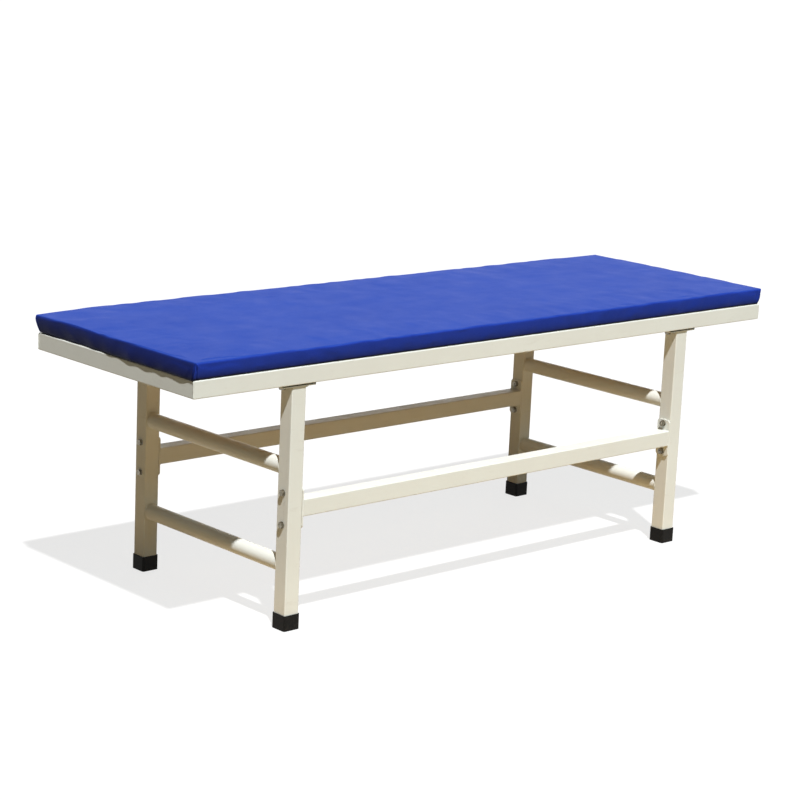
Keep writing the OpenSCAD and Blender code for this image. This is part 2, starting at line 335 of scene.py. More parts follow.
def pad_vinyl():
    """Blue upholstery vinyl: a painted sheen on top, painted shade low on the sides, on the ends,
    in folds and at the hem, pebble grain, scuffs.
    """
    material, tree, place, shader = new_material("pad_vinyl")
    normal = split(node("TexCoord", {}, tree).outputs["Normal"])
    before_shade, worn = vinyl_colour(tree, place, normal)
    rough = spread(grain(place, 14.0, 5.0, 0.6), 0.3, 0.7, 0.50, 0.62)
    feed(shader, {"Base Color": vinyl_painted_shade(tree, place, normal, before_shade),
                  "Roughness": maths("ADD", rough, worn),
                  "Specular IOR Level": 0.08, "Normal": vinyl_bump(place)})
    return material


def zinc_steel():
    """Yellowish zinc plate on steel: turned marks, dull patches, painted shade in its crevices."""
    material, tree, place, shader = new_material("zinc_steel")
    bright, dull, crevice_dark = (0.32, 0.29, 0.23), (0.17, 0.15, 0.11), (0.05, 0.04, 0.025)
    patches = spread(grain(place, 160.0, 4.0, 0.6), 0.35, 0.65)
    colour = mix(patches, bright, dull)
    # Painted shade: darker in the crevices, by ambient occlusion.
    painted_shade = times(crevice_share(tree, 3 * MM), 0.7)
    marks = grain(stretched(place, (1.0, 1.0, 6.0)), 900.0, 2.0)
    feed(shader, {"Base Color": mix(painted_shade, colour, crevice_dark), "Metallic": 1.0,
                  "Roughness": spread(patches, 0.0, 1.0, 0.30, 0.48),
                  "Normal": bump(marks, 0.04 * MM)})
    return material


def black_rubber(name, tone, dust):
    """Moulded black rubber: fine spark texture, pale dust on it and on its lower edge."""
    material, _, place, shader = new_material(name)
    black, dusty = (tone, tone * 0.94, tone * 0.86), (dust, dust * 0.90, dust * 0.74)
    everywhere, near_floor = 0.4, 0.5
    low = times(spread(split(place)["Z"], 14 * MM, 0.0), near_floor)
    specks = spread(grain(place, 240.0, 6.0, 0.7), 0.50, 0.72)
    share = times(specks, maths("ADD", low, everywhere))
    feed(shader, {"Base Color": mix(share, black, dusty), "Specular IOR Level": 0.10,
                  "Roughness": spread(specks, 0.0, 1.0, 0.55, 0.8),
                  "Normal": bump(grain(place, 1100.0, 3.0), 0.12 * MM)})
    return material


def plywood():
    """Rotary-cut birch: long soft grain with darker lines, pores and a few pin knots."""
    material, _, place, shader = new_material("pad_board")
    pale, brown, dark = (0.60, 0.44, 0.27), (0.47, 0.32, 0.18), (0.22, 0.13, 0.07)
    along = stretched(place, (1.3, 16.0, 16.0))
    figure = grain(along, 2.4, 7.0, 0.6, 1.4)
    colour = mix(spread(figure, 0.35, 0.68), pale, brown)
    pores = grain(stretched(place, (28.0, 700.0, 300.0)), 1.0, 3.0, 0.7)
    colour = mix(spread(pores, 0.62, 0.78, 0.0, 0.45), colour, dark)
    knots = spread(cells(stretched(place, (2.2, 5.0, 1.0)), 2.0), 0.045, 0.02)
    feed(shader, {"Base Color": mix(knots, colour, dark), "Roughness": 0.72,
                  "Normal": bump(pores, 0.2 * MM, 0.6)})
    return material


def foam():
    """Open-cell upholstery foam."""
    material, _, place, shader = new_material("pad_foam")
    pale, aged = (0.85, 0.80, 0.55), (0.74, 0.62, 0.34)
    pores = cells(place, 620.0)
    colour = mix(grain(place, 7.0, 4.0), pale, aged)
    colour = mix(spread(pores, 0.5, 0.0, 0.0, 0.5), colour, aged)
    feed(shader, {"Base Color": colour, "Roughness": 0.95,
                  "Normal": bump(pores, 0.8 * MM)})
    return material


PAINT, VINYL, ZINC, FOAM = frame_paint(), pad_vinyl(), zinc_steel(), foam()
BY_SLOT = {"frame_paint": PAINT, "pad_vinyl": VINYL, "zinc_steel": ZINC, "pad_foam": FOAM,
           "shim_rubber": black_rubber("shim_rubber", tone=0.002, dust=0.006),
           "foot_rubber": black_rubber("foot_rubber", tone=0.008, dust=0.050),
           "pad_board": plywood()}


# ------------ the CAD nodes that stay

CAD_SMOOTH_ANGLE, BROKEN_ANGLE = radians(38), radians(40)
EDGE_WIDTH = {"frame_paint": 0.45 * MM, "foot_rubber": 0.7 * MM, "shim_rubber": 0.25 * MM,
              "pad_board": 0.4 * MM}


def smooth_by_angle(limit):
    """A modifier group that drops the imported normals and smooths all but sharp edges."""
    group = bpy.data.node_groups.new("smooth_by_angle", "GeometryNodeTree")
    group.interface.new_socket("Geometry", in_out="INPUT", socket_type="NodeSocketGeometry")
    group.interface.new_socket("Geometry", in_out="OUTPUT", socket_type="NodeSocketGeometry")
    kinds = ("NodeGroupInput", "GeometryNodeRemoveAttribute", "GeometryNodeSetShadeSmooth",
             "GeometryNodeInputMeshEdgeAngle", "FunctionNodeCompare",
             "GeometryNodeSetShadeSmooth", "NodeGroupOutput")
    start, drop, faces, angle, compare, edges, end = (group.nodes.new(kind) for kind in kinds)
    drop.inputs["Name"].default_value = "custom_normal"
    compare.data_type, compare.operation = "FLOAT", "GREATER_THAN"
    compare.inputs[1].default_value = limit
    edges.domain = "EDGE"
    edges.inputs["Shade Smooth"].default_value = False
    link = group.links.new
    link(start.outputs[0], drop.inputs["Geometry"])
    link(drop.outputs[0], faces.inputs["Geometry"])
    link(faces.outputs[0], edges.inputs["Geometry"])
    link(angle.outputs["Unsigned Angle"], compare.inputs[0])
    link(compare.outputs[0], edges.inputs["Selection"])
    link(edges.outputs[0], end.inputs[0])
    return group


def soften_edges(piece, width, group):
    """Breaks the edges of a CAD node as paint or moulding does."""
    weld = piece.modifiers.new("weld", "WELD")
    weld.merge_threshold = 0.01 * MM
    edge = piece.modifiers.new("edge", "BEVEL")
    edge.width, edge.segments = width, 2
    edge.limit_method, edge.angle_limit = "ANGLE", BROKEN_ANGLE
    piece.modifiers.new("smooth", "NODES").node_group = group
    flat = piece.modifiers.new("flat", "WEIGHTED_NORMAL")
    flat.keep_sharp = True


def dress_frame():
    """Gives every CAD node that stays its material and its broken edges."""
    slots = {part["node"]: part["material_slot"] for part in frame["record"]["subparts"]}
    group = smooth_by_angle(CAD_SMOOTH_ANGLE)
    for name, piece in NODES.items():
        for slot in piece.material_slots:
            slot.material = BY_SLOT[slots[name]]
        if slots[name] in EDGE_WIDTH:
            soften_edges(piece, EDGE_WIDTH[slots[name]], group)


# ------------ pad

DRAW_IN = 9.5 * MM
EDGE_R, CORNER_R = 5 * MM, 4.5 * MM
LEAST_R = 1 * MM
CROWN_RISE, CROWN_RUN = 3 * MM, 130 * MM
SWELL = 0.15
SKIN_T = 1.0 * MM
FOAM_GAP = 2.6 * MM
EDGE_TOP = PAD_TOP - CROWN_RISE
WIDEST_Z = EDGE_TOP - EDGE_R
TOP_X, TOP_Y = PAD_X - EDGE_R, PAD_Y - EDGE_R

# The foam's unevenness. The rises are given at the left and at the right end.
FRONT_RISE, BACK_RISE = (1.5 * MM, 3.7 * MM), (6.7 * MM, 4.2 * MM)
CORNER_DROP, CORNER_RUN = 3.5 * MM, 170 * MM
LEAN, LEAN_RUN = 6 * MM, 100 * MM

# The spacing of the mesh, closest together at the corners.
CORNER_ZONE, PLEAT_ZONE = 20 * MM, 8 * MM
PLEAT_STEP, FINE_STEP, COARSE_STEP = 1 * MM, 2 * MM, 12 * MM
STEP_GROWTH = 1.35
TINY = 0.1 * MM

# The cloth simulation.
SHRINK, SHRINK_FROM, SHRINK_RUN = 0.4 * MM, 1 * MM, 14 * MM
OUT_CAP, IN_CAP, SLIDE_CAP = 0.9 * MM, 0.3 * MM, 0.5 * MM
LOOSE_BAND = 95 * MM
HELD_WAVE = 0.30
SWELL_FRAMES = 20

# The hem. The second numbers of its lift and tuck are added where it is loose. Its reach is the
# first number on the ends, and grows to the second towards the left end's front corner.
HEM_INSETS = (50.5 * MM, 38 * MM, 22 * MM, 9 * MM)
HEM_GAP = 0.1 * MM
HEM_PITCH, HEM_FADE = 70 * MM, 30 * MM
HEM_SLACK = {"left": 0.7, "right": 0.6, "back": 0.5, "front": 0.22}
HEM_LIFT, HEM_TUCK = (0.5 * MM, 2.9 * MM), (1.2 * MM, 2.4 * MM)
HEM_BULGE = 1.8 * MM
HEM_REACH = (4.0 * MM, 10.6 * MM)
HEM_REACH_FROM, HEM_REACH_RUN, HEM_REACH_EDGE = 0.18, 0.30, 8 * MM
SIDE_ROWS, EDGE_ROWS = 8, 4

# The folded pleats at the corners, as (height, width).
PLEAT_HALF, PLEAT_REACH = 5 * MM, 14 * MM
PLEAT_RIDGE, PLEAT_HOLLOW = (1.5 * MM, 0.85 * MM), (1.9 * MM, 2.6 * MM)
PLEAT_FADE_FROM, PLEAT_FADE = 1 * MM, 7 * MM
WAVER_SLOW, WAVER_QUICK = 0.35 * MM, 0.10 * MM


def held(value):
    """value, kept between 0 and 1."""
    return min(1.0, max(0.0, value))


def graded(half):
    """Places from -half to half, close together near both ends."""
    near, step = [0.0], FINE_STEP
    while near[-1] < CORNER_ZONE - TINY:
        near.append(near[-1] + (PLEAT_STEP if near[-1] < PLEAT_ZONE - TINY else FINE_STEP))
    while step * STEP_GROWTH < COARSE_STEP:
        step *= STEP_GROWTH
        near.append(near[-1] + step)
    count = ceil((half - near[-1]) / COARSE_STEP)
    rest = (half - near[-1]) / count
    start = near[-1]
    near += [start + rest * k for k in range(1, count + 1)]
    return [e - half for e in near] + [half - e for e in reversed(near[:-1])]


def top_edge(xs, ys):
    """The places round the edge of the top's grid."""
    return ([(x, ys[0]) for x in xs] + [(xs[-1], y) for y in ys[1:]]
            + [(x, ys[-1]) for x in reversed(xs[:-1])] + [(xs[0], y) for y in reversed(ys[1:-1])])


def crown(x, y):
    """How far the top has risen above its edge."""
    def part(value, half):
        return 1 - (1 - held((half - abs(value)) / CROWN_RUN)) ** 2
    return CROWN_RISE * part(x, TOP_X) * part(y, TOP_Y)


def settled(point):
    """The point as the uneven foam holds it. The top rises a little towards the back, and the
    left end leans out towards its back corner, which is lower than the rest."""
    x, y, z = point
    right, back = (x / PAD_X + 1) / 2, (y / PAD_Y + 1) / 2
    front_rise, back_rise = (low + (high - low) * right for low, high in (FRONT_RISE, BACK_RISE))
    rise = front_rise + (back_rise - front_rise) * back ** 2
    rise -= CORNER_DROP * max(0.0, 1 - hypot(x + PAD_X, y - PAD_Y) / CORNER_RUN) ** 2
    up = held((z - RAIL_TOP) / (WIDEST_Z - RAIL_TOP))
    lean = LEAN * back * max(0.0, 1 - (x + PAD_X) / LEAN_RUN)
    return Vector((x - lean, y, z + up * rise))


def outline_place(x, y, inset):
    """Where the grid line that ends at (x, y) on the top's edge meets the outline inset in."""
    grow = EDGE_R - inset
    half_x, half_y = TOP_X + grow, TOP_Y + grow
    radius = max(CORNER_R - inset, LEAST_R)
    on_row = abs(abs(y) - TOP_Y) < TINY
    e = TOP_X - abs(x) if on_row else TOP_Y - abs(y)
    if e >= CORNER_ZONE:
        u, v = (abs(x), half_y) if on_row else (half_x, abs(y))
    else:
        arc = radius * pi / 4
        s = e / CORNER_ZONE * (arc + CORNER_ZONE + grow - radius)
        if s < arc:
            turn = pi / 4 + (s if on_row else -s) / radius
            u = half_x - radius + radius * cos(turn)
            v = half_y - radius + radius * sin(turn)
        else:
            past = radius + s - arc
            u, v = (half_x - past, half_y) if on_row else (half_x, half_y - past)
    return copysign(u, x), copysign(v, y)


def hem_wave(x, y):
    """How loose the cover hangs at a place along the hem, from 0, tight, to 1."""
    on_row = TOP_Y - abs(y) < TOP_X - abs(x)
    slack = HEM_SLACK[("front" if y < 0 else "back") if on_row else ("left" if x < 0 else "right")]
    along = x if on_row else y
    drift = noise.noise(Vector((along * 9, 3 * x, 5 * y)))
    wave = 0.5 + 0.5 * sin(TAU * along / HEM_PITCH + 2.2 * drift)
    from_corner = TOP_X - abs(x) if on_row else TOP_Y - abs(y)
    size = 0.75 + 0.5 * noise.noise(Vector((x * 13, y * 13, 7)))
    return slack * wave * size * max(held(from_corner / HEM_FADE), 0.15)


def side_in(z):
    """How far the tight side lies in from the widest line."""
    t = (z - RAIL_TOP) / (WIDEST_Z - RAIL_TOP)
    return DRAW_IN * (1 - t - SWELL * sin(pi * t))


def hem_reach(x, y):
    """How much further out the hem lies on the ends, most towards the left end's front corner."""
    along = held((HEM_REACH_FROM - y) / HEM_REACH_RUN) if x < 0 else 0.0
    on_end = held((abs(x) - TOP_X) / HEM_REACH_EDGE + 1)
    far, near = HEM_REACH
    lean = LEAN * (y / PAD_Y + 1) / 2 if x < 0 else 0.0
    return max(0.0, far + (near - far) * along * along * (3 - 2 * along) - lean) * on_end


def side_profile(wave, reach):
    """(inset, height) of the cover from its fold under the board to the top's edge."""
    lift = HEM_LIFT[0] + HEM_LIFT[1] * wave - 0.15 * reach
    rows = [(DRAW_IN + HEM_TUCK[0] + HEM_TUCK[1] * wave - 0.8 * reach, RAIL_TOP + HEM_GAP)]
    for k in range(SIDE_ROWS + 1):
        down = 1 - k / SIDE_ROWS
        z = RAIL_TOP + lift + (WIDEST_Z - RAIL_TOP - lift) * k / SIDE_ROWS
        rows.append((side_in(z) - HEM_BULGE * wave * down ** 2 - reach * down ** 1.3, z))
    for k in range(1, EDGE_ROWS):
        turn = pi / 2 * k / EDGE_ROWS
        rows.append((EDGE_R * (1 - cos(turn)), WIDEST_Z + EDGE_R * sin(turn)))
    return rows


def cover_column(x, y, wave):
    """Points of the cover below one place of the top's edge, from under the board upwards."""
    column = []
    tight = side_profile(wave, 0)
    for (inset, z), (least, _) in zip(side_profile(wave, hem_reach(x, y)), tight):
        u, v = outline_place(x, y, inset)
        column.append((u, copysign(min(abs(v), PAD_Y - least), v), z))
    u, v, z = column[0]
    return [(u * (PAD_X - inset) / PAD_X, v * (PAD_Y - inset) / PAD_Y, z)
            for inset in HEM_INSETS] + column


def add_top(bm, xs, ys, edge):
    """The crowned grid of the top. Returns its verts by place in the grid, and those of its rim."""
    grid = {(i, j): bm.verts.new((x, y, EDGE_TOP + crown(x, y)))
            for i, x in enumerate(xs[1:-1], 1) for j, y in enumerate(ys[1:-1], 1)}
    rim = [bm.verts.new((*outline_place(x, y, EDGE_R), EDGE_TOP)) for x, y in edge]
    for (x, y), vert in zip(edge, rim):
        grid[xs.index(x), ys.index(y)] = vert
    for i in range(len(xs) - 1):
        for j in range(len(ys) - 1):
            bm.faces.new((grid[i, j], grid[i + 1, j], grid[i + 1, j + 1], grid[i, j + 1]))
    return grid, rim


def cover_form():
    """(bmesh of the cover's outer face, open under the board, and the indices held still)."""
    xs, ys = graded(TOP_X), graded(TOP_Y)
    edge = top_edge(xs, ys)
    waves = [hem_wave(x, y) for x, y in edge]
    columns = [cover_column(x, y, wave) for (x, y), wave in zip(edge, waves)]
    bm = bmesh.new()
    rings = loft(bm, list(zip(*columns)), lids=False)
    fold = len(HEM_INSETS)
    still = [v for row in rings[:fold] for v in row]
    still += [v for v, wave in zip(rings[fold], waves) if wave < HELD_WAVE]
    grid, rim = add_top(bm, xs, ys, edge)
    for k in range(len(edge)):
        n = (k + 1) % len(edge)
        bm.faces.new((rings[-1][k], rings[-1][n], rim[n], rim[k]))
    still += [v for (i, j), v in grid.items()
              if min(TOP_X - abs(xs[i]), TOP_Y - abs(ys[j])) > LOOSE_BAND]
    bm.verts.index_update()
    return bm, [v.index for v in still]


def outward(bm):
    """Turns the faces so that the top looks up."""
    bmesh.ops.recalc_face_normals(bm, faces=bm.faces)
    top = max(bm.faces, key=lambda face: face.calc_center_median().z)
    if top.normal.z < 0:
        bmesh.ops.reverse_faces(bm, faces=bm.faces)


def draw_in(bm):
    """Moves the skin near the edges inwards, so that it can swell back to its size."""
    bm.normal_update()
    moves = {}
    for vert in bm.verts:
        rise = held((vert.co.z - RAIL_TOP - SHRINK_FROM) / SHRINK_RUN)
        inside = min(PAD_X - abs(vert.co.x), PAD_Y - abs(vert.co.y))
        moves[vert] = vert.normal * SHRINK * rise * held(1 - inside / LOOSE_BAND)
    for vert, move in moves.items():
        vert.co -= move


def simulated(piece, still):
    """Where the cover's points go when it swells as cloth under pressure."""
    piece.vertex_groups.new(name="still").add(still, 1.0, "REPLACE")
    cloth = piece.modifiers.new("swell", "CLOTH")
    settings = cloth.settings
    settings.quality = 5
    settings.vertex_group_mass = "still"
    settings.use_pressure = True
    settings.uniform_pressure_force = 0.5
    settings.tension_stiffness = settings.compression_stiffness = 20
    settings.bending_stiffness = 5.0
    settings.shrink_min = -0.02
    settings.effector_weights.gravity = 0
    scene.frame_start, scene.frame_end = 1, SWELL_FRAMES
    cloth.point_cache.frame_start, cloth.point_cache.frame_end = 1, SWELL_FRAMES
    for step in range(1, SWELL_FRAMES + 1):
        scene.frame_set(step)
    moved = piece.evaluated_get(bpy.context.evaluated_depsgraph_get()).data.vertices
    ends = [v.co.copy() for v in moved]
    piece.modifiers.clear()
    scene.frame_set(1)
    return ends


def capped(value, cap):
    """value, held softly between -cap and cap."""
    return cap * tanh(value / cap)


def swell(piece, still):
    """Lets the cover swell. The foam under it keeps it near its start."""
    start = [v.co.copy() for v in piece.data.vertices]
    normals = [v.normal.copy() for v in piece.data.vertices]
    ends = simulated(piece, still)
    for vert, place, normal, end in zip(piece.data.vertices, start, normals, ends):
        move = end - place
        out = move.dot(normal)
        slide = move - normal * out
        vert.co = place + normal * capped(out, OUT_CAP if out > 0 else IN_CAP)
        if slide.length > 0:
            vert.co += slide * (capped(slide.length, SLIDE_CAP) / slide.length)
        if place.z >= RAIL_TOP:
            vert.co.z = max(vert.co.z, RAIL_TOP + HEM_GAP)


def subdivide(piece):
    finer = piece.modifiers.new("finer", "SUBSURF")
    finer.levels = finer.render_levels = 1
    bake_modifiers(piece)


def corner_run(point):
    """How far along the outline a point is from its corner, more than 0 on the front or back."""
    inset = max(0.0, side_in(min(point.z, WIDEST_Z)))
    radius = max(CORNER_R - inset, LEAST_R)
    u = abs(point.x) - (PAD_X - inset - radius)
    v = abs(point.y) - (PAD_Y - inset - radius)
    arc = radius * pi / 4
    if u <= 0:
        return arc - u
    if v <= 0:
        return v - arc
    return (atan2(v, u) - pi / 4) * radius


def corner_pleat(point):
    """How far the folded pleat at the nearest corner moves the skin outwards."""
    run = corner_run(point)
    if abs(run) > PLEAT_REACH:
        return 0.0

    def bulge(at, size):
        height, width = size
        return height * exp(-((run - at) / width) ** 2)
    fade = held((EDGE_TOP - PLEAT_FADE_FROM - point.z) / PLEAT_FADE)
    return fade * (bulge(-PLEAT_HALF, PLEAT_RIDGE) + bulge(PLEAT_HALF, PLEAT_RIDGE)
                   - bulge(0.0, PLEAT_HOLLOW))


def skin_waver(point):
    """Slow unevenness of the foam under the skin."""
    slow = noise.noise(Vector((point.x * 5.5, point.y * 8.0, 1.3)))
    quick = noise.noise(Vector((point.x * 17, point.y * 26, 4.1)))
    return WAVER_SLOW * slow + WAVER_QUICK * quick


def shape_skin(mesh):
    """Pleats at the corners, and a slight unevenness everywhere."""
    normals = [v.normal.copy() for v in mesh.vertices]
    for vert, normal in zip(mesh.vertices, normals):
        if vert.co.z > RAIL_TOP + 1 * MM:
            flat = Vector((normal.x, normal.y, 0))
            vert.co += flat * corner_pleat(vert.co) + normal * skin_waver(vert.co)
            vert.co = settled(vert.co)


def make_pad_cover():
    bm, still = cover_form()
    outward(bm)
    draw_in(bm)
    mesh = bpy.data.meshes.new("pad_cover_cloth")
    bm.to_mesh(mesh)
    bm.free()
    piece = new_piece("pad_cover_cloth", mesh, VINYL)
    swell(piece, still)
    subdivide(piece)
    shape_skin(piece.data)
    piece.data.update()
    skin = piece.modifiers.new("skin", "SOLIDIFY")
    skin.thickness, skin.offset = SKIN_T, -1
    bake_modifiers(piece)
    piece.data.polygons.foreach_set("use_smooth", [True] * len(piece.data.polygons))
    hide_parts("pad_cover")


def make_foam():
    """The slab under the cover: its sides follow the cover's, a little inside it."""
    inside = SKIN_T + FOAM_GAP
    radius = EDGE_R - inside
    edge = top_edge(graded(TOP_X), graded(TOP_Y))
    levels = []
    for k in range(EDGE_ROWS + 1):
        z = BOARD_TOP + (WIDEST_Z - BOARD_TOP) * k / EDGE_ROWS
        levels.append((side_in(z) + inside, z))
    for k in range(1, EDGE_ROWS + 1):
        turn = pi / 2 * k / EDGE_ROWS
        levels.append((EDGE_R - radius * cos(turn), WIDEST_Z + radius * sin(turn)))
    rings = [[(*outline_place(x, y, inset), z) for x, y in edge] for inset, z in levels]
    rim = rings[-1]
    for share in (0.93, 0.82, 0.6, 0.3, 0.08):
        rings.append([(x * share, y * share, EDGE_TOP - inside + crown(x * share, y * share))
                      for x, y, z in rim])
    bm = bmesh.new()
    loft(bm, [[settled(point) for point in points] for points in rings])
    piece = new_piece("pad_foam_slab", finished_mesh("pad_foam_slab", bm), FOAM)
    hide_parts("pad_foam")


# ------------ staples in the hem

STAPLE_CROWN, STAPLE_LEG, STAPLE_BEND = 10 * MM, 8 * MM, 1 * MM
STAPLE_WIRE = (1.2 * MM, 0.6 * MM)
STAPLE_INSET, STAPLE_END = 51.5 * MM, 12 * MM
STAPLE_PITCH, STAPLE_CLEAR = 34 * MM, 8 * MM
STAPLE_STRAY_ALONG, STAPLE_STRAY_IN, STAPLE_TURN = 2.5, 1.5, 0.18


def sweep(bm, path, half_width, half_height, across):
    """A flat wire along a path in the plane of Z, its width along across."""
    rings = []
    for k, point in enumerate(path):
        before, after = path[max(k - 1, 0)], path[min(k + 1, len(path) - 1)]
        along = (after - before).normalized()
        up = along.cross(across).normalized()
        rings.append([point + across * a * half_width + up * b * half_height
                      for a, b in ((-1, -1), (1, -1), (1, 1), (-1, 1))])
    loft(bm, rings)


def add_staple(bm, centre, along, generator):
    """One staple, its crown along the hem's edge and its legs up in the board."""
    along = Matrix.Rotation(generator.uniform(-STAPLE_TURN, STAPLE_TURN), 3, "Z") @ along
    across = Vector((-along.y, along.x, 0))
    half, bend = STAPLE_CROWN / 2, STAPLE_BEND
    path = [(-half, STAPLE_LEG), (-half, bend), (-half + 0.3 * bend, 0.3 * bend), (-half + bend, 0),
            (half - bend, 0), (half - 0.3 * bend, 0.3 * bend), (half, bend), (half, STAPLE_LEG)]
    sweep(bm, [centre + along * s + UP * z for s, z in path],
          STAPLE_WIRE[0] / 2, STAPLE_WIRE[1] / 2, across)


def make_staples():
    """A row of staples along each side of the hem, but none where a cross member passes."""
    generator = random.Random(7)
    bm = bmesh.new()
    level = UP * (RAIL_TOP + HEM_GAP - STAPLE_WIRE[1] / 2)
    members = [sum(corner.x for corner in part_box("cross_member_" + name)) / 2 for name in MEMBERS]
    reach_x, reach_y = PAD_X - STAPLE_INSET, PAD_Y - STAPLE_INSET
    x_axis, y_axis = Vector((1, 0, 0)), Vector((0, 1, 0))
    for half, reach, along, across in ((reach_x, reach_y, x_axis, y_axis),
                                       (reach_y, reach_x, y_axis, x_axis)):
        run = half - STAPLE_END
        count = round(2 * run / STAPLE_PITCH)
        for k in range(count + 1):
            stray = generator.uniform(-STAPLE_STRAY_ALONG, STAPLE_STRAY_ALONG) * MM
            s = run * (2 * k / count - 1) + stray
            if along.x and any(abs(s - x) < TUBE / 2 + STAPLE_CLEAR for x in members):
                continue
            for sign in (-1, 1):
                stray = generator.uniform(-STAPLE_STRAY_IN, STAPLE_STRAY_IN) * MM
                place = along * s + across * sign * (reach + stray) + level
                add_staple(bm, place, along, generator)
    new_piece("hem_staples", finished_mesh("hem_staples", bm), ZINC)


# ------------ bolts, nuts, washers, screws

BOLT_R, BOLT_TAIL = 4 * MM, 2.5 * MM
HEX_R, HEX_ANGLE = 6.5 * MM, radians(24)
CREST_R = 0.95 * HEX_R
HEAD_H, NUT_H = 5.3 * MM, 6.5 * MM
WASHER_R, WASHER_T = 8 * MM, 1.6 * MM
THREAD_PITCH, THREAD_DEPTH, THREAD_LENGTH = 1.25 * MM, 0.55 * MM, 16 * MM
THREAD_ROWS, THREAD_RUN_OUT = 6, 1.2 * MM
BORE_PLAY, HOLE_PLAY = 0.03 * MM, 0.5 * MM
TUBE_WALL = 1.5 * MM
END_BOLT_PITCH = 74 * MM
SHIM_T = RAIL_BOTTOM - plate_high.z
PLATE_T = plate_high.z - plate_low.z
PLATE_BOLT_X = ((plate_high.x - plate_low.x) + TUBE) / 4
HEX_SAMPLES = 36


def hex_radius(angle):
    sixth = pi / 3
    return HEX_R / cos((angle + sixth / 2) % sixth - sixth / 2)


def hex_ring(radius, z):
    return ring(radius, z, HEX_SAMPLES)


def chamfered(z_flat, sense):
    """The two rings of a chamfered hex end: the hexagon, and the round edge of its flat."""
    slope = tan(radians(30))
    sides = [(x, y, z_flat - sense * (hypot(x, y) - CREST_R) * slope)
             for x, y, z in hex_ring(hex_radius, 0)]
    return [sides, hex_ring(CREST_R, z_flat)]


def thread_rings(z_start, z_end):
    """A helical thread between two heights, running out at its end."""
    rows = round((z_end - z_start) / THREAD_PITCH * THREAD_ROWS)
    rings = []
    for k in range(rows + 1):
        z = z_start + (z_end - z_start) * k / rows
        run_out = 0.80 + 0.20 * min(1.0, (z_end - z) / THREAD_RUN_OUT)

        def radius(angle, z=z, run_out=run_out):
            turn = (z / THREAD_PITCH - angle / TAU) % 1
            return (BOLT_R - THREAD_DEPTH * (1 - abs(2 * turn - 1))) * run_out
        rings.append(hex_ring(radius, z))
    return rings


def add_bolt(bm, place, length):
    """Head below zero, shank along +Z, with a thread on its far part."""
    dish, step = 0.25 * MM, 0.4 * MM
    thread_from = length - THREAD_LENGTH
    hexagon, edge = chamfered(-HEAD_H, -1)
    rings = [hex_ring(0.62 * HEX_R, dish - HEAD_H), hex_ring(0.72 * HEX_R, -HEAD_H), edge, hexagon,
             hex_ring(hex_radius, -step), hex_ring(CREST_R, -step),
             hex_ring(0.93 * HEX_R, 0), hex_ring(BOLT_R, 0)]
    if thread_from > 1 * MM:
        rings.append(hex_ring(BOLT_R, thread_from))
    rings += thread_rings(max(thread_from, 1 * MM) + 0.2 * MM, length)
    loft(bm, rings, place)


def add_nut(bm, place):
    """A chamfered nut from zero to its height, open along its bore."""
    low_hex, low_edge = chamfered(0, -1)
    high_hex, high_edge = chamfered(NUT_H, 1)
    bore, lip = BOLT_R + BORE_PLAY, BOLT_R + HOLE_PLAY
    sunk = 0.5 * MM
    loft(bm, [hex_ring(lip, 0), low_edge, low_hex, high_hex, high_edge, hex_ring(lip, NUT_H),
              hex_ring(bore, NUT_H - sunk), hex_ring(bore, sunk)], place, loop=True)


def add_washer(bm, place):
    """A stamped washer: one rolled edge and one crisp edge."""
    hole = BOLT_R + HOLE_PLAY
    crisp, rolled, lip = (0.1 * MM, 0.15 * MM), 0.5 * MM, 0.3 * MM
    loft(bm, [ring(hole, 0), ring(WASHER_R - crisp[0], 0), ring(WASHER_R, crisp[1]),
              ring(WASHER_R, WASHER_T - rolled), ring(WASHER_R - rolled, WASHER_T),
              ring(hole + lip, WASHER_T), ring(hole, WASHER_T - lip)], place, loop=True)


def facing(point, direction, turn=0.0):
    """A place whose Z points along the direction."""
    return (Matrix.Translation(point) @ direction.to_track_quat("Z", "Y").to_matrix().to_4x4()
            @ Matrix.Rotation(turn, 4, "Z"))


def end_bolt_places():
    """On each leg's outer face, pointing through the leg to its stretcher."""
    for sx, sy in CORNERS:
        for k in (-1, 1):
            z = STRETCHER_Z + k * END_BOLT_PITCH / 2
            yield Vector((sx * (LEG_X + TUBE / 2), sy * LEG_Y, z)), Vector((-sx, 0, 0))


def plate_bolt_places():
    """Under each leg plate, pointing up to the rail."""
    for sx, sy in CORNERS:
        for k in (-1, 1):
            yield Vector((sx * LEG_X + k * PLATE_BOLT_X, sy * LEG_Y, PLATE_BOTTOM)), UP


def fasteners(name, add_each):
    """One piece for all the fasteners of a kind, in place of the plain ones."""
    bm = bmesh.new()
    add_each(bm)
    piece = new_piece(name + "_turned", finished_mesh(name, bm, HEX_ANGLE), ZINC)
    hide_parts(name)


